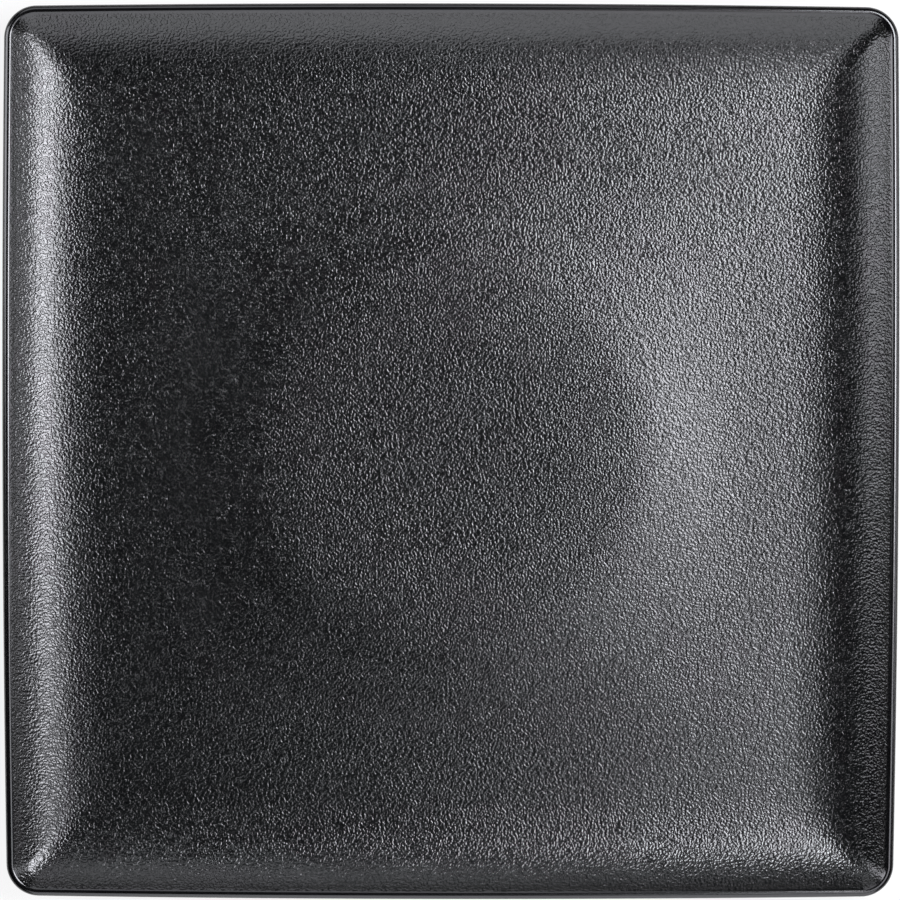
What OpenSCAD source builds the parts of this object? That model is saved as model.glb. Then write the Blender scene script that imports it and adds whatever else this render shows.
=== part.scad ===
// Square dinner plate: one pressed and fired stoneware body under four coats of black glaze.
// The table is z = 0, the plate is centred on the origin and its well opens towards +Z.

/* [Plate] */
// Width across two opposite sides
plate_w = 260; // [236:1:290]
// Height from the table to the top of the lip
plate_h = 17; // [16:0.5:20]
// How far the middle of each side bows out
side_bow = 1; // [0.2:0.1:3]
// Corner radius of the outline
corner_r = 9.5; // [8:0.5:16]

/* [Wall] */
// Thickness of the rounded lip
lip_t = 2.8; // [2.4:0.1:4]
// Width of the hollow sweep from the lip down to the lowest line of the well
sweep_w = 34; // [28:0.5:38]
// Slope in degrees at which that sweep runs into the lip
wall_slope = 43; // [36:1:46]
// Power with which the slope grows along the sweep
sweep_p = 2.4; // [2:0.1:3.4]
// Corner radius of the wall just under the lip
valley_r = 7; // [5:0.5:12]
// Slope of the outer wall in degrees
back_slope = 48; // [42:1:52]
// Radius of the turn from the outer wall to the underside
back_r = 24; // [18:0.5:28]
// Corner radius of the underside inside that turn
back_corner_r = 20; // [12:1:30]

/* [Well] */
// Diameter of the round ridge, and of the support ring under it
ridge_d = 106; // [84:1:120]
// How far the middle sinks below the ridge
dish = 0.5; // [0.1:0.1:1]
// How far the well falls from the ridge to its lowest line
dip = 1.7; // [0.5:0.1:2.2]
// Corner radius of that lowest line
well_corner_r = 34; // [20:1:50]

/* [Foot] */
// Height of the glazed underside above the table
foot_h = 3; // [2:0.25:3.5]
// Width of the square foot ring over the outer edges of its land
foot_w = 168; // [150:1:180]
// Corner radius of the foot ring's centre line
foot_corner_r = 30; // [15:1:45]
// Width of the flat land of each ring
land_w = 3; // [2:0.25:4]
// Rounding along the edges of the land
land_edge_r = 0.6; // [0.3:0.1:1]
// Slope of the ring's sides from upright in degrees
foot_draft = 25; // [10:1:35]
// How far the round support ring stops short of the table
support_gap = 0.4; // [0.2:0.1:0.8]

/* [Glaze] */
// Thickness of each glaze coat
glaze_t = 0.4; // [0.2:0.05:0.7]

/* [Hidden] */

// Steps along half a side, a corner and each stretch of the section
side_n = 3;
corner_n = 8;
dish_n = 4;
dip_n = 6;
sweep_n = 8;
lip_n = 8;
lip_back_n = 2;
back_n = 4;
land_edge_n = 4;

// Parts into which the sweep is cut to work out its height
rise_n = 60;

// Facets of a full circle
$fn = 96;

// How deep the rings root in the clay
root_depth = 1;

half_w = plate_w / 2;
ridge_r = ridge_d / 2;
lip_r = lip_t / 2;
lip_s = half_w - lip_r;
lip_z = plate_h - lip_r;

// The inner wall is one sweep, level at the lowest line of the well and tangent to the lip
wall_top_s = lip_s - lip_r * sin(wall_slope);
low_s = wall_top_s - sweep_w;
low_z = lip_z + lip_r * cos(wall_slope) - sweep_rise(1);
ridge_z = low_z + dip;

// The outer wall is a straight flank, tangent to the lip and to the turn under it
back_top_s = lip_s + lip_r * sin(back_slope);
back_top_z = lip_z - lip_r * cos(back_slope);
back_z = foot_h + back_r;
back_run = (back_top_z - back_z + back_r * cos(back_slope)) / tan(back_slope);
back_s = back_top_s - back_run - back_r * sin(back_slope);

foot_s = (foot_w - land_w) / 2;

function smooth(f) = f * f * (3 - 2 * f);
function mix(a, b, f) = a + (b - a) * f;
function fall(f) = f * f * (6 - 8 * f + 3 * f * f);
function total(list) = list * [for (x = list) 1];
function quarter_turn(q, p) = [p, [-p.y, p.x], -p, [p.y, -p.x]][q];

// Slope of the sweep at a share f of its width, and its height there above the lowest line
function sweep_slope(f) = wall_slope * pow(f, sweep_p);
function sweep_rise(f) =
    sweep_w * f / rise_n * total([for (i = [1:rise_n]) tan(sweep_slope(f * (i - 0.5) / rise_n))]);

// Corner radius at half width s: down the inner wall, round the lip, and down the outer wall
function wall_corner(s) = mix(valley_r, well_corner_r, pow((wall_top_s - s) / sweep_w, 3));
function lip_corner(s) = mix(valley_r, corner_r, (s - wall_top_s) / (half_w - wall_top_s));
function back_corner(s) = mix(corner_r, back_corner_r, (half_w - s) / (half_w - back_s));

// A square of half width s with bowed sides and corners of radius r: arcs that meet on a tangent
function outline(s, r) =
    let (
        bow = side_bow * s / half_w,
        side_r = (s * s + bow * bow) / (2 * bow),
        back = side_r - s,
        c = (sqrt(2 * pow(side_r - r, 2) - back * back) - back) / 2,
        reach = atan2(c, c + back)
    )
    [for (q = [0:3]) each [
        for (i = [0:2 * side_n])
            let (a = reach * (i / side_n - 1))
            quarter_turn(q, [side_r * cos(a) - back, side_r * sin(a)]),
        for (i = [1:corner_n - 1])
            let (a = reach + (90 - 2 * reach) * i / corner_n)
            quarter_turn(q, [c + r * cos(a), c + r * sin(a)])
    ]];

// The same points spread round a circle, for the rings near the ridge
spokes = [for (p = outline(low_s, well_corner_r)) p / norm(p)];

// A station is a half width, a height, a corner radius and how square its ring is.
// It lies t under the glazed surface, whose slope there is a degrees, rising outwards.
function station(s, z, r, a, t) = [s + t * sin(a), z - t * cos(a), r + t * sin(a), 1];

// The face from the middle of the well to the outermost line of the lip
function face_stations(t) = concat(
    [for (k = [1:dish_n])
        let (f = k / dish_n)
        [ridge_r * f, ridge_z - dish * pow(1 - f * f, 2) - t, ridge_r * f / 2, 0]],
    [for (k = [1:dip_n])
        let (f = k / dip_n, s = mix(ridge_r, low_s, f))
        [s, ridge_z - dip * fall(f) - t, well_corner_r * s / low_s, smooth(f)]],
    [for (k = [1:sweep_n])
        let (f = pow(k / sweep_n, 0.6), s = low_s + sweep_w * f)
        station(s, low_z + sweep_rise(f), wall_corner(s), sweep_slope(f), t)],
    [for (k = [1:lip_n])
        let (a = mix(wall_slope, -90, k / lip_n), s = lip_s - lip_r * sin(a))
        station(s, lip_z + lip_r * cos(a), lip_corner(s), a, t)]
);

// The back from the outermost line of the lip to the flat underside
function back_stations(t) = concat(
    [for (k = [0:lip_back_n])
        let (a = mix(-90, back_slope - 180, k / lip_back_n), s = lip_s - lip_r * sin(a))
        station(s, lip_z + lip_r * cos(a), back_corner(s), a, t)],
    [for (k = [0:back_n])
        let (a = mix(back_slope - 180, -180, k / back_n), s = back_s - back_r * sin(a))
        station(s, back_z + back_r * cos(a), back_corner(s), a, t)]
);

function ring(st) =
    let (square = outline(st[0], st[2]))
    [for (j = [0:len(square) - 1])
        let (p = mix(spokes[j] * st[0], square[j], st[3]))
        [p.x, p.y, st[1]]];

function from(list, first) = [for (i = [first:len(list) - 1]) list[i]];
function reversed(list) = [for (i = [len(list) - 1:-1:0]) list[i]];

// A closed skin over a row of rings: capped at both ends, or running back into its first ring.
// From the ring numbered turn the row runs back along its own inside, so the diagonals lean the other way.
module skin(stations, turn, closed) {
    rings = [for (st = stations) ring(st)];
    count = len(rings);
    n = len(rings[0]);
    sides = [
        for (i = [0:closed ? count - 1 : count - 2], j = [0:n - 1])
            let (
                a = i * n + j,
                b = i * n + (j + 1) % n,
                c = ((i + 1) % count) * n + (j + 1) % n,
                d = ((i + 1) % count) * n + j
            )
            each i < turn ? [[a, b, c], [a, c, d]] : [[a, b, d], [b, c, d]]
    ];
    caps = [[for (j = [n - 1:-1:0]) j], [for (j = [0:n - 1]) (count - 1) * n + j]];
    polyhedron(
        points = [for (r = rings) each r],
        faces = closed ? sides : concat(sides, caps),
        convexity = 8
    );
}

// Section of a foot ring about its centre line: flat land, rounded edges and drafted sides
module foot_section(land_z) {
    flank = [
        for (k = [0:land_edge_n])
            let (a = mix(-90, -foot_draft, k / land_edge_n))
            [land_w / 2 + land_edge_r * cos(a), land_z + land_edge_r * (1 + sin(a))]
    ];
    edge = flank[land_edge_n];
    top_z = foot_h + glaze_t + root_depth;
    side = concat(flank, [[edge.x + (top_z - edge.y) * tan(foot_draft), top_z]]);
    polygon(concat(side, [for (p = reversed(side)) [-p.x, p.y]]));
}

module foot_ring() {
    straight = foot_s - foot_corner_r;
    for (q = [0:3]) rotate(90 * q) {
        translate([foot_s, 0, 0])
            rotate([90, 0, 0])
                linear_extrude(2 * straight, center = true)
                    foot_section(0);
        translate([straight, straight, 0])
            rotate_extrude(angle = 90)
                translate([foot_corner_r, 0])
                    foot_section(0);
    }
}

module support_ring() {
    rotate_extrude()
        translate([ridge_r, 0])
            foot_section(support_gap);
}

// The square that the foot ring's centre line encloses
module foot_field() {
    straight = foot_s - foot_corner_r;
    square([2 * foot_s, 2 * straight], center = true);
    square([2 * straight, 2 * foot_s], center = true);
    for (x = [-straight, straight], y = [-straight, straight])
        translate([x, y])
            circle(foot_corner_r);
}

// Fired clay with its two bare rings: the square foot and the round support under the ridge
module stoneware_body() {
    stations = concat(face_stations(glaze_t), from(back_stations(glaze_t), 1));
    color("#8c7f70") {
        skin(stations, len(stations), false);
        foot_ring();
        support_ring();
    }
}

// Textured black coat over the well, the wall and the lip
module face_glaze() {
    outer = face_stations(0);
    color("#232326")
        skin(concat(outer, reversed(face_stations(glaze_t))), len(outer), false);
}

// Satin black coat from the lip down the outer wall to the foot ring
module skirt_glaze() {
    outer = concat(back_stations(0), [[foot_s, foot_h, foot_corner_r, 1]]);
    inner = concat(back_stations(glaze_t), [[foot_s, foot_h + glaze_t, foot_corner_r, 1]]);
    color("#1b1b1d") difference() {
        skin(concat(outer, reversed(inner)), len(outer), true);
        foot_ring();
    }
}

// Satin black coat under the floor, between the foot ring and the support ring
module base_glaze() {
    color("#1b1b1d") difference() {
        translate([0, 0, foot_h])
            linear_extrude(glaze_t)
                difference() {
                    foot_field();
                    circle(ridge_r);
                }
        foot_ring();
        support_ring();
    }
}

// Satin black coat under the floor, inside the support ring
module centre_glaze() {
    color("#1b1b1d") difference() {
        translate([0, 0, foot_h])
            cylinder(h = glaze_t, r = ridge_r);
        support_ring();
    }
}

stoneware_body();
face_glaze();
skirt_glaze();
base_glaze();
centre_glaze();
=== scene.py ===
import math
from typing import NamedTuple

import bmesh
import bpy
from bpy.props import FloatProperty, FloatVectorProperty, PointerProperty
from mathutils import Matrix, Vector


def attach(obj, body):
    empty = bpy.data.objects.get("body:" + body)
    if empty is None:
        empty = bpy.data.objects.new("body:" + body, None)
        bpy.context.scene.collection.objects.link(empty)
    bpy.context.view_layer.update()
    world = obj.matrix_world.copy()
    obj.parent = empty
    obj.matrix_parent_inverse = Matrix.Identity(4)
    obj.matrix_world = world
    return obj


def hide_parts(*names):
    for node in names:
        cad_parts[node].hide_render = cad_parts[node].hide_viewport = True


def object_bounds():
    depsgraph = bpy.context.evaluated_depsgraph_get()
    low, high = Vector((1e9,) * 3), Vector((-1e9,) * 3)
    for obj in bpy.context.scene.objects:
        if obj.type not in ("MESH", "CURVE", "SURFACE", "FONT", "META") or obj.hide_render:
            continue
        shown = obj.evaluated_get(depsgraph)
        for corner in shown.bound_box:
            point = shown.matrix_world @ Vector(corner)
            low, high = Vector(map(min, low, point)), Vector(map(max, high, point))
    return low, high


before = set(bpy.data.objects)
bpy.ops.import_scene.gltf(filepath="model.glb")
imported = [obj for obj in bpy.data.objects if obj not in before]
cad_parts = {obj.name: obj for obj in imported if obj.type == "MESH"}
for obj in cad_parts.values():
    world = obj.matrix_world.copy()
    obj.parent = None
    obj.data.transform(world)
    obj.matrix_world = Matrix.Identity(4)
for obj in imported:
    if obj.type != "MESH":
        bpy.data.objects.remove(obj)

bl_info = {
    "name": "Square Dinner Plate",
    "version": (1, 0, 0),
    "blender": (4, 5, 0),
    "location": "View3D > Sidebar > Plate",
    "description": "Builds a square stoneware plate under a textured black glaze, and a studio round it",
    "category": "Add Mesh",
}

MM = 0.001
CAD_LOW, CAD_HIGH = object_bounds()

# Steps along half a side and round a corner of each ring
SIDE_STEPS = 20
CORNER_STEPS = 20

# Steps along each stretch of the section
DISH_STEPS = 14
DIP_STEPS = 16
SWEEP_STEPS = 28
LIP_STEPS = 36
LIP_BACK_STEPS = 12
BACK_STEPS = 20
FLAT_STEPS = 4
LAND_EDGE_STEPS = 6
COAT_EDGE_STEPS = 6

# Power that draws the rings of the sweep together towards the lip
SWEEP_SPREAD = 0.6

# Parts into which the sweep is cut to work out its height
RISE_PARTS = 60

# Share of the sweep over which its corners tighten under the lip
CREASE_DEPTH = 0.1

# Power with which they then open towards the well: the higher, the later
WELL_POWER = 5

# Width of the innermost ring of the coat in the middle, as a share of the coat's
CENTRE_RING = 0.5

# Bow of a side that counts as straight
STRAIGHT_BOW = 0.001 * MM

# Middle of the range of a noise
NOISE_MIDDLE = 0.5

# Finer octaves that each noise has on its lumps
MOTTLE_OCTAVES = 3
GRAIN_OCTAVES = 1
GRIT_OCTAVES = 0
PEEL_OCTAVES = 2
CLAY_OCTAVES = 4

# Factor by which each finer octave fades
MOTTLE_FADE = 0.6
PEEL_FADE = 0.5
CLAY_FADE = 0.65

# Fourth coordinate of the noise that sets the specks, so that they differ from the grains
GRIT_SEED = 7


def linear(hex_colour):
    """The linear RGBA of an sRGB hex colour."""
    channels = [int(hex_colour[i:i + 2], 16) / 255 for i in (1, 3, 5)]
    return [c / 12.92 if c <= 0.04045 else ((c + 0.055) / 1.055) ** 2.4 for c in channels] + [1.0]


def length(name, description, default):
    """A property that holds a length in metres."""
    return FloatProperty(name=name, description=description, default=default, unit="LENGTH", precision=5)


def slope(name, description, degrees):
    """A property that holds an angle."""
    return FloatProperty(name=name, description=description, default=math.radians(degrees), unit="ROTATION")


def share(name, description, default):
    """A property that holds a plain number from 0 to 1."""
    return FloatProperty(name=name, description=description, default=default, min=0, max=1, subtype="FACTOR")


def number(name, description, default):
    """A property that holds a plain number."""
    return FloatProperty(name=name, description=description, default=default, min=0, subtype="UNSIGNED")


def colour(name, description, default):
    """A property that holds a colour, given in sRGB hex."""
    return FloatVectorProperty(
        name=name, description=description, default=linear(default), size=4, min=0, max=1, subtype="COLOR"
    )


class PlateSizes(bpy.types.PropertyGroup):
    """Sizes of the plate."""

    width: length("Width", "Across two opposite sides", CAD_HIGH.x - CAD_LOW.x)
    height: length("Height", "From the table to the top of the lip", CAD_HIGH.z - CAD_LOW.z)
    side_bow: length("Side bow", "How far the middle of each side bows out", 1 * MM)
    corner_r: length("Corner radius", "Corner radius of the outline", 9.5 * MM)
    lip_t: length("Lip thickness", "Thickness of the rounded lip", 2.8 * MM)
    sweep_w: length("Sweep width", "Width of the hollow sweep from the lip down into the well", 34 * MM)
    wall_slope: slope("Wall slope", "Slope at which that sweep runs into the lip", 43)
    sweep_p: number("Sweep power", "Power with which the slope grows along that sweep", 2.4)
    valley_r: length("Valley radius", "Corner radius of the wall just under the lip", 7 * MM)
    crease_r: length("Crease radius", "Corner radius of the wall a little further down", 4 * MM)
    back_slope: slope("Back slope", "Slope of the outer wall", 48)
    back_r: length("Back radius", "Radius of the turn from the outer wall to the underside", 24 * MM)
    back_corner_r: length("Back corner radius", "Corner radius of the underside inside that turn", 20 * MM)
    ridge_r: length("Ridge radius", "Radius of the round ridge and of the support ring", 53 * MM)
    dish: length("Dish", "How far the middle sinks below the ridge", 0.5 * MM)
    dip: length("Dip", "How far the well falls from the ridge to its lowest line", 1.7 * MM)
    well_corner_r: length("Well corner radius", "Corner radius of that lowest line", 34 * MM)
    foot_h: length("Foot height", "Height of the glazed underside above the table", 3 * MM)
    foot_w: length("Foot width", "Width of the foot ring over the outer edges of its land", 168 * MM)
    foot_corner_r: length("Foot corner radius", "Corner radius of the foot ring's centre line", 30 * MM)
    land_w: length("Land width", "Width of the flat land of each ring", 3 * MM)
    land_edge_r: length("Land edge radius", "Rounding along the edges of the land", 0.6 * MM)
    foot_draft: slope("Foot draft", "Slope of the ring's sides from upright", 25)
    support_gap: length("Support gap", "How far the support ring stops short of the table", 0.4 * MM)
    glaze_t: length("Glaze thickness", "Thickness of each glaze coat", 0.4 * MM)
    coat_edge_w: length("Coat edge width", "Width over which a coat thins out beside a bare ring", 0.9 * MM)


class PlateFinish(bpy.types.PropertyGroup):
    """Colours and surface of the glazes and the clay."""

    face_dark: colour("Face dark", "Darker tone of the face glaze", "#030304")
    face_light: colour("Face light", "Lighter tone of the face glaze", "#080809")
    face_ior: number("Face IOR", "Index of refraction of the face glaze, rich in metal oxides", 1.72)
    face_roughness: share("Face roughness", "Roughness of the face glaze between its grains", 0.205)
    lip_roughness: share("Lip roughness", "Roughness of the face glaze where it is smooth on the lip", 0.18)
    grain_w: length("Grain width", "Spacing of the grains of the face glaze", 0.67 * MM)
    grain_h: length("Grain height", "Height of the grains of the face glaze", 0.07 * MM)
    grain_flank: share("Grain flank", "Part of the noise range over which a grain rises", 0.4)
    grain_octave: share("Grain octave", "Strength of the finer grains against the coarse ones", 0.36)
    grit_w: length("Grit width", "Spacing of the steep specks among the grains", 0.6 * MM)
    grit_h: share("Grit height", "Height of those specks as a share of the grains' height", 0.35)
    grit_from: share("Grit from", "Level of the noise at which a speck starts to rise", 0.62)
    grit_to: share("Grit to", "Level of the noise at which it has its full height", 0.78)
    mottle_w: length("Mottle width", "Size of the patches of the glazes", 11 * MM)
    mottle_flank: share("Mottle flank", "Part of the noise range over which the face changes tone", 0.3)
    smooth_from: length("Smooth from", "Height at which the grain starts to fade", 16.0 * MM)
    smooth_to: length("Smooth to", "Height at which the grain has gone", 16.85 * MM)
    back_dark: colour("Back dark", "Darker tone of the back glaze", "#121213")
    back_light: colour("Back light", "Lighter tone of the back glaze", "#1a1a1b")
    back_ior: number("Back IOR", "Index of refraction of the back glaze", 1.55)
    back_roughness: share("Back roughness", "Roughness of the back glaze", 0.27)
    back_spread: share("Back spread", "How far that roughness strays either way", 0.06)
    peel_w: length("Peel width", "Spacing of the ripples of the back glaze", 2.6 * MM)
    peel_h: length("Peel height", "Height of the ripples of the back glaze", 0.05 * MM)
    clay_dark: colour("Clay dark", "Darker tone of the fired clay", "#6f6457")
    clay_light: colour("Clay light", "Lighter tone of the fired clay", "#9a8d7b")
    clay_speck: colour("Clay speck", "Iron specks in the fired clay", "#33261c")
    clay_ior: number("Clay IOR", "Index of refraction of the fired clay", 1.5)
    clay_roughness: share("Clay roughness", "Roughness of the fired clay", 0.85)
    clay_grit_w: length("Clay grit width", "Size of the grit in the clay", 0.5 * MM)
    clay_grit_h: length("Clay grit height", "Height of the grit in the clay", 0.1 * MM)
    clay_relief: share("Clay relief", "How much of that height the wiped clay keeps", 0.6)
    clay_flank: share("Clay flank", "Part of the noise range over which the clay changes tone", 0.4)
    speck_w: length("Speck spacing", "Spacing of the iron specks", 3 * MM)
    speck_core: share("Speck core", "Radius of a speck's dark core as a share of their spacing", 0.06)
    speck_rim: share("Speck rim", "Radius at which a speck has faded, as a share of their spacing", 0.12)


class StudioSettings(bpy.types.PropertyGroup):
    """Camera, floor and background of the studio."""

    eye_h: length("Eye height", "Height of the camera above the lip", 1.2)
    eye_x: length("Eye X", "Camera position to the right of the plate's middle", -5 * MM)
    eye_y: length("Eye Y", "Camera position above the plate's middle in the picture", 53 * MM)
    aim_x: length("Aim X", "Point to the right of the middle that the camera looks at", -0.25 * MM)
    aim_y: length("Aim Y", "Point above the middle that the camera looks at", 1.0 * MM)
    roll: slope("Roll", "Turn of the camera about its own axis", -0.09)
    frame_w: length("Frame width", "Width that the picture covers at the lip", 260.45 * MM)
    floor_w: length("Floor width", "Width of the floor", 8)
    floor_colour: colour("Floor", "Colour of the floor", "#707070")
    floor_roughness: share("Floor roughness", "Roughness of the floor", 0.9)
    floor_glow: share("Floor glow", "Share of white that the floor shows by itself", 0.82)
    horizon: share("Horizon", "Brightness of the surroundings at the horizon", 0.85)
    zenith: share("Zenith", "Brightness of the surroundings overhead", 0.0)
    pale_to: share("Pale to", "Sine of the elevation up to which the surroundings stay pale", 0.08)
    dark_from: share("Dark from", "Sine of the elevation from which they are dark", 0.2)


class Softbox(NamedTuple):
    """A soft lamp: azimuth and elevation in degrees, size in metres, and level as a share of white."""

    name: str
    azimuth: float
    elevation: float
    width: float
    height: float
    level: float


# Colours of the lamps, which are cool daylight, and of the glow of the floor and the surroundings
LAMP_COLOUR = "#f7f8ff"
WHITE = "#ffffff"

# Distance of each lamp from the plate in metres
SOFTBOX_DISTANCE = 0.85

SOFTBOXES = (
    Softbox("key_softbox", 23, 60.5, 0.46, 0.30, 15.0),
    Softbox("side_softbox", 335, 66, 0.44, 0.36, 2.9),
    Softbox("right_strip", 5, 27, 0.45, 0.22, 2.8),
    Softbox("left_softbox", 165, 36, 0.32, 0.62, 4.4),
    Softbox("back_softbox", 104, 40, 0.56, 0.44, 1.25),
    Softbox("front_softbox", 275, 30, 0.80, 0.80, 1.65),
)


class Station(NamedTuple):
    """One ring of a loft: half width, height, corner radius, share of squareness and bow of its sides."""

    half_w: float
    z: float
    corner_r: float
    square: float
    bow: float


def round_station(radius, z):
    """A station whose ring is a circle, so that its corners and its bow do not show."""
    return Station(radius, z, radius / 2, 0, STRAIGHT_BOW)


def mix(a, b, f):
    """The value at a share f of the way from a to b."""
    return a + (b - a) * f


def smooth(f):
    """A rise from 0 to 1 that starts and ends level."""
    return f * f * (3 - 2 * f)


def fall(f):
    """A drop from 0 to 1 that starts level, is steepest at a third of the way and ends level."""
    return f * f * (6 - 8 * f + 3 * f * f)


def steps(first, last, count):
    """Evenly spaced values from first to last."""
    return [mix(first, last, k / count) for k in range(count + 1)]


def outline(half_w, corner_r, bow):
    """Points of a square with bowed sides and round corners: arcs that meet on a tangent."""
    side_r = (half_w ** 2 + bow ** 2) / (2 * bow)
    back = side_r - half_w
    corner = (math.sqrt(2 * (side_r - corner_r) ** 2 - back ** 2) - back) / 2
    reach = math.atan2(corner, corner + back)
    quarter = [
        Vector((side_r * math.cos(a) - back, side_r * math.sin(a)))
        for a in steps(-reach, reach, 2 * SIDE_STEPS)
    ]
    quarter += [
        Vector((corner + corner_r * math.cos(a), corner + corner_r * math.sin(a)))
        for a in steps(reach, math.pi / 2 - reach, CORNER_STEPS)[1:-1]
    ]
    return [Matrix.Rotation(q * math.pi / 2, 2) @ p for q in range(4) for p in quarter]


class Section:
    """The lines of the plate's section, worked out from its sizes."""

    def __init__(self, sizes):
        p = sizes
        self.sizes = p
        self.half_w = p.width / 2
        self.lip_r = p.lip_t / 2
        self.lip_s = self.half_w - self.lip_r
        self.lip_z = p.height - self.lip_r
        self.wall_top_s = self.lip_s - self.lip_r * math.sin(p.wall_slope)
        wall_top_z = self.lip_z + self.lip_r * math.cos(p.wall_slope)
        self.low_s = self.wall_top_s - p.sweep_w
        self.low_z = wall_top_z - self.sweep_rise(1)
        self.ridge_z = self.low_z + p.dip
        sin_back = math.sin(p.back_slope)
        cos_back = math.cos(p.back_slope)
        back_top_s = self.lip_s + self.lip_r * sin_back
        back_top_z = self.lip_z - self.lip_r * cos_back
        self.back_z = p.foot_h + p.back_r
        back_run = (back_top_z - self.back_z + p.back_r * cos_back) / math.tan(p.back_slope)
        self.back_s = back_top_s - back_run - p.back_r * sin_back
        self.foot_s = (p.foot_w - p.land_w) / 2
        self.spokes = [q.normalized() for q in outline(self.low_s, p.well_corner_r, self.bow(self.low_s))]

    def bow(self, half_w):
        """Bow of the sides of a ring, in proportion to its width."""
        return self.sizes.side_bow * half_w / self.half_w

    def sweep_slope(self, f):
        """Slope of the sweep at a share f of its width."""
        return self.sizes.wall_slope * f ** self.sizes.sweep_p

    def sweep_rise(self, f):
        """Height of the sweep above the lowest line of the well at a share f of its width."""
        grades = [math.tan(self.sweep_slope(f * (k + 0.5) / RISE_PARTS)) for k in range(RISE_PARTS)]
        return self.sizes.sweep_w * f * sum(grades) / RISE_PARTS

    def wall_corner(self, s):
        """Corner radius of the wall: it tightens to a crease under the lip and opens towards the well."""
        p = self.sizes
        f = (self.wall_top_s - s) / p.sweep_w
        upper = mix(p.valley_r, p.crease_r, smooth(min(f / CREASE_DEPTH, 1)))
        return mix(upper, p.well_corner_r, f ** WELL_POWER)

    def lip_corner(self, s):
        """Corner radius over the lip, from the top of the wall to the outermost line."""
        p = self.sizes
        return mix(p.valley_r, p.corner_r, (s - self.wall_top_s) / (self.half_w - self.wall_top_s))

    def back_corner(self, s):
        """Corner radius down the outer wall to the underside."""
        p = self.sizes
        return mix(p.corner_r, p.back_corner_r, (self.half_w - s) / (self.half_w - self.back_s))

    def under(self, s, z, corner_r, a, depth):
        """The station that lies depth under the glazed surface, whose slope there is a, rising outwards."""
        half_w = s + depth * math.sin(a)
        return Station(half_w, z - depth * math.cos(a), corner_r + depth * math.sin(a), 1, self.bow(half_w))

    def face(self, depth):
        """Stations from the middle of the well to the outermost line of the lip."""
        p = self.sizes
        made = []
        for f in steps(0, 1, DISH_STEPS)[1:]:
            made.append(round_station(p.ridge_r * f, self.ridge_z - p.dish * (1 - f * f) ** 2 - depth))
        for f in steps(0, 1, DIP_STEPS)[1:]:
            s = mix(p.ridge_r, self.low_s, f)
            z = self.ridge_z - p.dip * fall(f) - depth
            made.append(Station(s, z, p.well_corner_r * s / self.low_s, smooth(f), self.bow(s)))
        for k in steps(0, 1, SWEEP_STEPS)[1:]:
            f = k ** SWEEP_SPREAD
            s = self.low_s + p.sweep_w * f
            z = self.low_z + self.sweep_rise(f)
            made.append(self.under(s, z, self.wall_corner(s), self.sweep_slope(f), depth))
        for a in steps(p.wall_slope, -math.pi / 2, LIP_STEPS)[1:]:
            s = self.lip_s - self.lip_r * math.sin(a)
            made.append(self.under(s, self.lip_z + self.lip_r * math.cos(a), self.lip_corner(s), a, depth))
        return made

    def back(self, depth):
        """Stations from the outermost line of the lip to the flat underside."""
        p = self.sizes
        made = []
        for a in steps(-math.pi / 2, p.back_slope - math.pi, LIP_BACK_STEPS):
            s = self.lip_s - self.lip_r * math.sin(a)
            made.append(self.under(s, self.lip_z + self.lip_r * math.cos(a), self.back_corner(s), a, depth))
        for a in steps(p.back_slope - math.pi, -math.pi, BACK_STEPS):
            s = self.back_s - p.back_r * math.sin(a)
            made.append(self.under(s, self.back_z + p.back_r * math.cos(a), self.back_corner(s), a, depth))
        return made

    def foot_line(self, offset, z):
        """A station beside the centre line of the square foot ring, offset outwards."""
        p = self.sizes
        return Station(self.foot_s + offset, z, p.foot_corner_r + offset, 1, STRAIGHT_BOW)

    def support_line(self, offset, z):
        """A station beside the centre line of the round support ring, offset outwards."""
        return round_station(self.sizes.ridge_r + offset, z)

    def flank(self, land_z, z):
        """Half width of a bare ring at a height above the rounding of its land."""
        p = self.sizes
        edge_z = land_z + p.land_edge_r * (1 - math.sin(p.foot_draft))
        edge_x = p.land_w / 2 + p.land_edge_r * math.cos(p.foot_draft)
        return edge_x + (z - edge_z) * math.tan(p.foot_draft)

    def bare_ring(self, line, land_z):
        """Stations over a bare ring from its outer root across the land to its inner root."""
        p = self.sizes
        root_z = p.foot_h + p.glaze_t
        side = [(self.flank(land_z, root_z), root_z)]
        for a in steps(-p.foot_draft, -math.pi / 2, LAND_EDGE_STEPS):
            x = p.land_w / 2 + p.land_edge_r * math.cos(a)
            side.append((x, land_z + p.land_edge_r * (1 + math.sin(a))))
        outer = [line(x, z) for x, z in side]
        inner = [line(-x, z) for x, z in reversed(side)]
        return outer + inner

    def coat_edge(self, line, land_z, towards):
        """Stations of a coat's lower surface from full thickness to where it thins out on a ring's flank."""
        p = self.sizes
        root_z = p.foot_h + p.glaze_t
        start = self.flank(land_z, root_z)
        made = []
        for a in steps(math.pi / 2, 0, COAT_EDGE_STEPS):
            offset = start + p.coat_edge_w * (1 - math.cos(a))
            made.append(line(towards * offset, root_z - p.glaze_t * math.sin(a)))
        return made

    def ring(self, station):
        """The points of a station's ring."""
        square = outline(station.half_w, station.corner_r, station.bow)
        points = []
        for spoke, corner in zip(self.spokes, square):
            flat = (spoke * station.half_w).lerp(corner, station.square)
            points.append(Vector((flat.x, flat.y, station.z)))
        return points


def lerp_stations(first, last, count):
    """Stations spread evenly between two, without either."""
    shares = steps(0, 1, count)[1:-1]
    return [Station(*(mix(a, b, f) for a, b in zip(first, last))) for f in shares]


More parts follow.
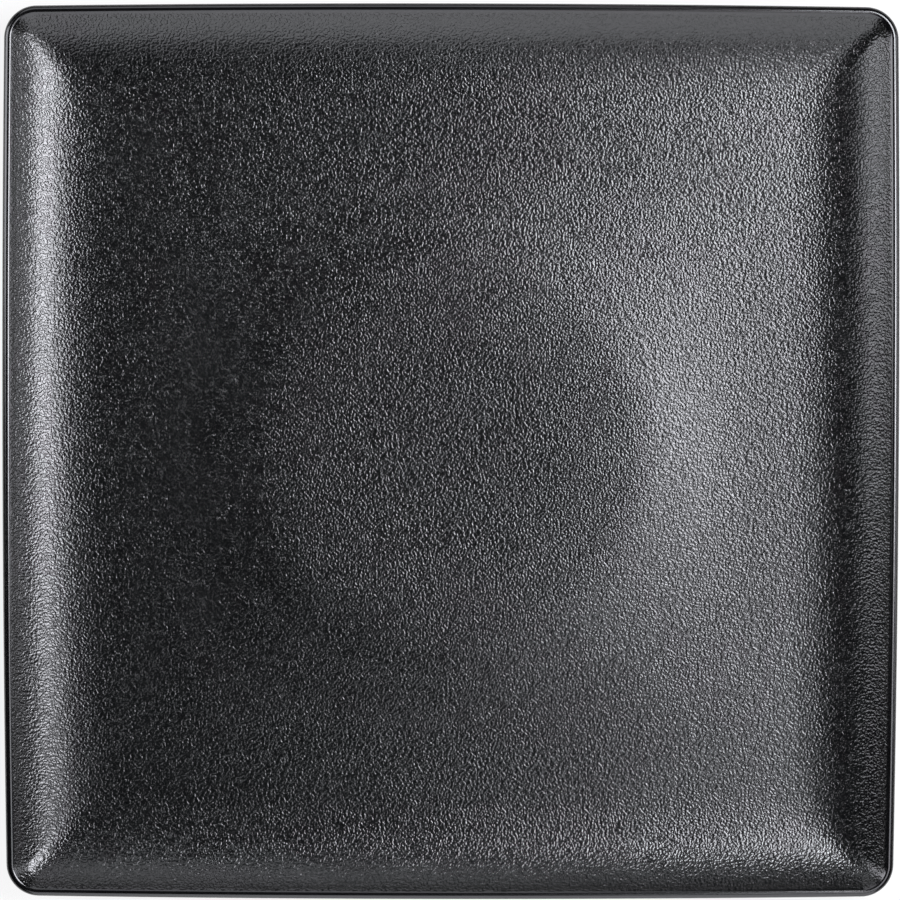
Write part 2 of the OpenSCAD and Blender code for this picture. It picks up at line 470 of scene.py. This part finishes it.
def loft(name, section, stations, closed, creases):
    """A piece skinned over rings: run back into its first ring, or with a point at each end.

    The rings whose numbers are in creases stay sharp.
    """
    bm = bmesh.new()
    rows = [[bm.verts.new(p) for p in section.ring(station)] for station in stations]
    count = len(rows[0])
    following = rows[1:] + rows[:1] if closed else rows[1:]
    for row, after in zip(rows, following):
        for j in range(count):
            k = (j + 1) % count
            bm.faces.new((row[j], after[j], after[k], row[k]))
    if not closed:
        first = bm.verts.new((0, 0, stations[0].z))
        last = bm.verts.new((0, 0, stations[-1].z))
        for j in range(count):
            k = (j + 1) % count
            bm.faces.new((first, rows[0][j], rows[0][k]))
            bm.faces.new((last, rows[-1][k], rows[-1][j]))
    for face in bm.faces:
        face.smooth = True
    for i in creases:
        for j in range(count):
            bm.edges.get((rows[i][j], rows[i][(j + 1) % count])).smooth = False
    mesh = bpy.data.meshes.new(name)
    bm.to_mesh(mesh)
    bm.free()
    piece = bpy.data.objects.new(name, mesh)
    bpy.context.scene.collection.objects.link(piece)
    return piece


def seat(piece, material, slot, *nodes):
    """Gives a piece its material, and its place in the frame instead of the solids that it stands for."""
    piece.data.materials.append(material)
    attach(piece, "root")
    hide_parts(*nodes)


def add_node(tree, kind, settings, inputs):
    """Adds a node with its settings; each input takes a value, or a link from another node's output."""
    node = tree.nodes.new(kind)
    for key, value in settings.items():
        setattr(node, key, value)
    for key, value in inputs.items():
        if isinstance(value, bpy.types.NodeSocket):
            tree.links.new(value, node.inputs[key])
        else:
            node.inputs[key].default_value = value
    return node


def new_material(name):
    """An empty node material and its tree."""
    material = bpy.data.materials.new(name)
    material.use_nodes = True
    material.node_tree.nodes.clear()
    return material, material.node_tree


def combine(tree, operation, first, second):
    """One value worked out from two."""
    return add_node(tree, "ShaderNodeMath", {"operation": operation}, {0: first, 1: second}).outputs[0]


def ramp(tree, value, low, high, start=0, end=1, kind="LINEAR"):
    """Maps a value from the range low to high onto the range start to end."""
    return add_node(
        tree, "ShaderNodeMapRange", {"interpolation_type": kind},
        {"Value": value, "From Min": low, "From Max": high, "To Min": start, "To Max": end},
    ).outputs["Result"]


def spread(tree, value, width, kind="LINEAR"):
    """Spreads the middle part of a noise's range, of the given width, over 0 to 1."""
    return ramp(tree, value, NOISE_MIDDLE - width / 2, NOISE_MIDDLE + width / 2, kind=kind)


def blend(tree, factor, first, second):
    """A mix of two colours, which are inputs 6 and 7 of the node, and output 2."""
    return add_node(
        tree, "ShaderNodeMix", {"data_type": "RGBA"}, {"Factor": factor, 6: first, 7: second}
    ).outputs[2]


def noise(tree, place, spacing, octaves, fade):
    """Noise whose lumps are a spacing apart, with finer octaves on them that fade by a factor each."""
    return add_node(
        tree, "ShaderNodeTexNoise", {},
        {"Vector": place, "Scale": 1 / spacing, "Detail": octaves, "Roughness": fade},
    ).outputs["Fac"]


def bump(tree, height, distance, strength=1):
    """The normal of a surface with a relief on it."""
    return add_node(
        tree, "ShaderNodeBump", {}, {"Strength": strength, "Distance": distance, "Height": height}
    ).outputs["Normal"]


def object_place(tree):
    """The place on the piece in metres, to which all patterns are fixed."""
    return add_node(tree, "ShaderNodeTexCoord", {}, {}).outputs["Object"]


def surface(tree, inputs):
    """The shader of a material and its output."""
    shader = add_node(tree, "ShaderNodeBsdfPrincipled", {}, inputs)
    add_node(tree, "ShaderNodeOutputMaterial", {}, {"Surface": shader.outputs["BSDF"]})


def textured_black_glaze(finish):
    """Matte black stoneware glaze, sprayed on and crawled in firing.

    It gives the eye a close grain of fused pebbles that glitters softly, with faint darker patches, and it
    runs smooth and a little glossier over the lip.
    """
    material, tree = new_material("textured_matte_black_glaze")
    place = object_place(tree)
    height = add_node(tree, "ShaderNodeSeparateXYZ", {}, {"Vector": place}).outputs["Z"]
    grainy = ramp(tree, height, finish.smooth_from, finish.smooth_to, 1, 0, "SMOOTHSTEP")
    mottle = noise(tree, place, finish.mottle_w, MOTTLE_OCTAVES, MOTTLE_FADE)
    tone = spread(tree, mottle, finish.mottle_flank)
    grain = noise(tree, place, finish.grain_w, GRAIN_OCTAVES, finish.grain_octave)
    pebbles = spread(tree, grain, finish.grain_flank, "SMOOTHSTEP")
    grit = add_node(
        tree, "ShaderNodeTexNoise", {"noise_dimensions": "4D"},
        {"Vector": place, "W": GRIT_SEED, "Scale": 1 / finish.grit_w, "Detail": GRIT_OCTAVES},
    ).outputs["Fac"]
    specks = ramp(tree, grit, finish.grit_from, finish.grit_to, 0, finish.grit_h, "SMOOTHSTEP")
    relief = combine(tree, "MULTIPLY", combine(tree, "ADD", pebbles, specks), grainy)
    surface(tree, {
        "Base Color": blend(tree, tone, finish.face_dark, finish.face_light),
        "Roughness": ramp(tree, grainy, 0, 1, finish.lip_roughness, finish.face_roughness),
        "IOR": finish.face_ior,
        "Normal": bump(tree, relief, finish.grain_h),
    })
    return material


def satin_black_glaze(finish):
    """Satin black stoneware glaze, dipped and fired.

    It gives the eye a deep black with soft wide highlights, broken a little by the ripple of the fired coat.
    """
    material, tree = new_material("satin_black_glaze")
    place = object_place(tree)
    mottle = noise(tree, place, finish.mottle_w, MOTTLE_OCTAVES, MOTTLE_FADE)
    peel = noise(tree, place, finish.peel_w, PEEL_OCTAVES, PEEL_FADE)
    least = finish.back_roughness - finish.back_spread
    most = finish.back_roughness + finish.back_spread
    surface(tree, {
        "Base Color": blend(tree, mottle, finish.back_dark, finish.back_light),
        "Roughness": ramp(tree, mottle, 0, 1, least, most),
        "IOR": finish.back_ior,
        "Normal": bump(tree, peel, finish.peel_h),
    })
    return material


def bare_stoneware(finish):
    """Grey-buff stoneware, pressed, wiped clean of glaze and fired.

    It gives the eye a dry, dense clay with fine grit and a scatter of dark iron specks.
    """
    material, tree = new_material("bare_stoneware")
    place = object_place(tree)
    grit = noise(tree, place, finish.clay_grit_w, CLAY_OCTAVES, CLAY_FADE)
    tone = spread(tree, grit, finish.clay_flank)
    clay = blend(tree, tone, finish.clay_dark, finish.clay_light)
    nearest = add_node(
        tree, "ShaderNodeTexVoronoi", {}, {"Vector": place, "Scale": 1 / finish.speck_w}
    ).outputs["Distance"]
    speck = ramp(tree, nearest, finish.speck_core, finish.speck_rim, 1, 0)
    surface(tree, {
        "Base Color": blend(tree, speck, clay, finish.clay_speck),
        "Roughness": finish.clay_roughness,
        "IOR": finish.clay_ior,
        "Normal": bump(tree, grit, finish.clay_grit_h, finish.clay_relief),
    })
    return material


class PLATE_OT_face_glaze(bpy.types.Operator):
    """Add the textured coat over the well, the wall and the lip"""

    bl_idname = "plate.face_glaze"
    bl_label = "Face Glaze"

    def execute(self, context):
        sizes = context.scene.plate_sizes
        section = Section(sizes)
        outer = section.face(0)
        inner = section.face(sizes.glaze_t)
        lip_edge = len(outer) - 1
        creases = (lip_edge, lip_edge + 1)
        piece = loft("plate_face", section, outer + inner[::-1], closed=False, creases=creases)
        seat(piece, textured_black_glaze(context.scene.plate_finish), "textured_black_glaze", "face_glaze")
        return {"FINISHED"}


class PLATE_OT_skirt_glaze(bpy.types.Operator):
    """Add the satin coat from the lip down the outer wall to the foot ring"""

    bl_idname = "plate.skirt_glaze"
    bl_label = "Skirt Glaze"

    def execute(self, context):
        sizes = context.scene.plate_sizes
        section = Section(sizes)
        edge = section.coat_edge(section.foot_line, 0, 1)
        outer = section.back(0)
        outer += lerp_stations(outer[-1], edge[0], FLAT_STEPS) + edge
        inner = section.back(sizes.glaze_t)
        inner += lerp_stations(inner[-1], edge[-1], FLAT_STEPS)
        creases = (0, len(outer) + len(inner) - 1)
        piece = loft("plate_skirt", section, outer + inner[::-1], closed=True, creases=creases)
        seat(piece, satin_black_glaze(context.scene.plate_finish), "satin_black_glaze", "skirt_glaze")
        return {"FINISHED"}


class PLATE_OT_underside_glaze(bpy.types.Operator):
    """Add the two satin coats under the floor, outside and inside the support ring"""

    bl_idname = "plate.underside_glaze"
    bl_label = "Underside Glaze"

    def execute(self, context):
        sizes = context.scene.plate_sizes
        finish = context.scene.plate_finish
        section = Section(sizes)
        gap = sizes.support_gap
        foot_side = section.coat_edge(section.foot_line, 0, -1)
        ring_side = section.coat_edge(section.support_line, gap, 1)
        lower = foot_side[::-1] + lerp_stations(foot_side[0], ring_side[0], FLAT_STEPS) + ring_side
        piece = loft("plate_base_coat", section, lower, closed=True, creases=(0, len(lower) - 1))
        seat(piece, satin_black_glaze(finish), "satin_black_glaze", "base_glaze")
        middle = section.coat_edge(section.support_line, gap, -1)
        top = round_station(middle[-1].half_w * CENTRE_RING, middle[-1].z)
        low = round_station(middle[0].half_w * CENTRE_RING, middle[0].z)
        stations = [top] + middle[::-1] + [low]
        piece = loft("plate_centre_coat", section, stations, closed=False, creases=(1,))
        seat(piece, satin_black_glaze(finish), "satin_black_glaze", "centre_glaze")
        return {"FINISHED"}


class PLATE_OT_stoneware(bpy.types.Operator):
    """Add the fired clay with its bare foot ring and support ring"""

    bl_idname = "plate.stoneware"
    bl_label = "Stoneware"

    def execute(self, context):
        sizes = context.scene.plate_sizes
        section = Section(sizes)
        foot = section.bare_ring(section.foot_line, 0)
        support = section.bare_ring(section.support_line, sizes.support_gap)
        stations = section.face(sizes.glaze_t) + section.back(sizes.glaze_t)[1:]
        stations += lerp_stations(stations[-1], foot[0], FLAT_STEPS) + foot
        stations += lerp_stations(foot[-1], support[0], FLAT_STEPS) + support
        piece = loft("plate_clay", section, stations, closed=False, creases=())
        seat(piece, bare_stoneware(context.scene.plate_finish), "bare_stoneware", "stoneware_body")
        return {"FINISHED"}


class PLATE_OT_stage(bpy.types.Operator):
    """Add the floor, the surroundings, the softboxes and the camera"""

    bl_idname = "plate.stage"
    bl_label = "Studio Stage"

    def execute(self, context):
        scene = context.scene
        studio = scene.plate_studio
        self.add_floor(scene, studio)
        self.add_surroundings(scene, studio)
        for box in SOFTBOXES:
            self.add_softbox(scene, box)
        self.add_camera(scene, studio)
        scene.view_settings.view_transform = "Standard"
        return {"FINISHED"}

    @staticmethod
    def add_floor(scene, studio):
        """A wide pale floor that shows white in the picture and keeps the plate's shadow."""
        half = studio.floor_w / 2
        mesh = bpy.data.meshes.new("studio_floor")
        corners = [(-half, -half, 0), (half, -half, 0), (half, half, 0), (-half, half, 0)]
        mesh.from_pydata(corners, [], [(0, 1, 2, 3)])
        floor = bpy.data.objects.new("studio_floor", mesh)
        scene.collection.objects.link(floor)
        material, tree = new_material("pale_paper")
        path = add_node(tree, "ShaderNodeLightPath", {}, {}).outputs
        mirrored = combine(tree, "MAXIMUM", path["Is Glossy Ray"], path["Is Transmission Ray"])
        seen = combine(tree, "MAXIMUM", path["Is Camera Ray"], mirrored)
        surface(tree, {
            "Base Color": studio.floor_colour,
            "Roughness": studio.floor_roughness,
            "Emission Color": linear(WHITE),
            "Emission Strength": combine(tree, "MULTIPLY", seen, studio.floor_glow),
        })
        mesh.materials.append(material)

    @staticmethod
    def add_surroundings(scene, studio):
        """Pale surroundings at the horizon that darken overhead."""
        world = bpy.data.worlds.new("studio")
        world.use_nodes = True
        tree = world.node_tree
        tree.nodes.clear()
        direction = add_node(tree, "ShaderNodeTexCoord", {}, {}).outputs["Generated"]
        height = add_node(tree, "ShaderNodeSeparateXYZ", {}, {"Vector": direction}).outputs["Z"]
        level = ramp(
            tree, height, studio.pale_to, studio.dark_from, studio.horizon, studio.zenith, "SMOOTHSTEP"
        )
        light = add_node(tree, "ShaderNodeBackground", {}, {"Color": linear(WHITE), "Strength": level})
        add_node(tree, "ShaderNodeOutputWorld", {}, {"Surface": light.outputs["Background"]})
        scene.world = world

    @staticmethod
    def add_softbox(scene, box):
        """An area light that faces the plate, whose level is its brightness as a share of white."""
        lamp = bpy.data.lights.new(box.name, "AREA")
        lamp.shape = "RECTANGLE"
        lamp.size = box.width
        lamp.size_y = box.height
        lamp.energy = box.level * math.pi * box.width * box.height
        lamp.color = linear(LAMP_COLOUR)[:3]
        light = bpy.data.objects.new(box.name, lamp)
        light.visible_camera = False
        azimuth = math.radians(box.azimuth)
        elevation = math.radians(box.elevation)
        across = math.cos(elevation)
        out = Vector((math.cos(azimuth) * across, math.sin(azimuth) * across, math.sin(elevation)))
        light.location = out * SOFTBOX_DISTANCE
        light.rotation_euler = out.to_track_quat("Z", "Y").to_euler()
        scene.collection.objects.link(light)

    @staticmethod
    def add_camera(scene, studio):
        """A long lens almost straight above the plate."""
        lens = bpy.data.cameras.new("camera")
        lens.lens = lens.sensor_width * studio.eye_h / studio.frame_w
        camera = bpy.data.objects.new("camera", lens)
        lip_z = scene.plate_sizes.height
        eye = Vector((studio.eye_x, studio.eye_y, lip_z + studio.eye_h))
        aim = Vector((studio.aim_x, studio.aim_y, lip_z))
        back = (eye - aim).normalized()
        right = Vector((math.cos(studio.roll), -math.sin(studio.roll), 0))
        up = back.cross(right).normalized()
        turn = Matrix((up.cross(back), up, back)).transposed()
        camera.matrix_world = Matrix.Translation(eye) @ turn.to_4x4()
        scene.collection.objects.link(camera)
        scene.camera = camera


class PLATE_PT_sidebar(bpy.types.Panel):
    """Lists the pieces of the plate and the stage"""

    bl_label = "Square Dinner Plate"
    bl_idname = "PLATE_PT_sidebar"
    bl_space_type = "VIEW_3D"
    bl_region_type = "UI"
    bl_category = "Plate"

    def draw(self, context):
        column = self.layout.column()
        for operator in OPERATORS:
            column.operator(operator.bl_idname)
        for group in (context.scene.plate_sizes, context.scene.plate_finish, context.scene.plate_studio):
            box = self.layout.box()
            for name in group.__annotations__:
                box.prop(group, name)


GROUPS = {"plate_sizes": PlateSizes, "plate_finish": PlateFinish, "plate_studio": StudioSettings}
OPERATORS = (
    PLATE_OT_stage,
    PLATE_OT_stoneware,
    PLATE_OT_face_glaze,
    PLATE_OT_skirt_glaze,
    PLATE_OT_underside_glaze,
)


def register():
    """Adds the classes, and the properties to the scene."""
    for cls in (*GROUPS.values(), *OPERATORS, PLATE_PT_sidebar):
        bpy.utils.register_class(cls)
    for name, group in GROUPS.items():
        setattr(bpy.types.Scene, name, PointerProperty(type=group))


def unregister():
    """Takes the properties and the classes away again."""
    for name in GROUPS:
        delattr(bpy.types.Scene, name)
    for cls in reversed((*GROUPS.values(), *OPERATORS, PLATE_PT_sidebar)):
        bpy.utils.unregister_class(cls)


def main():
    """Builds the stage and the plate."""
    register()
    bpy.ops.plate.stage()
    bpy.ops.plate.stoneware()
    bpy.ops.plate.face_glaze()
    bpy.ops.plate.skirt_glaze()
    bpy.ops.plate.underside_glaze()


if __name__ == "__main__":
    main()
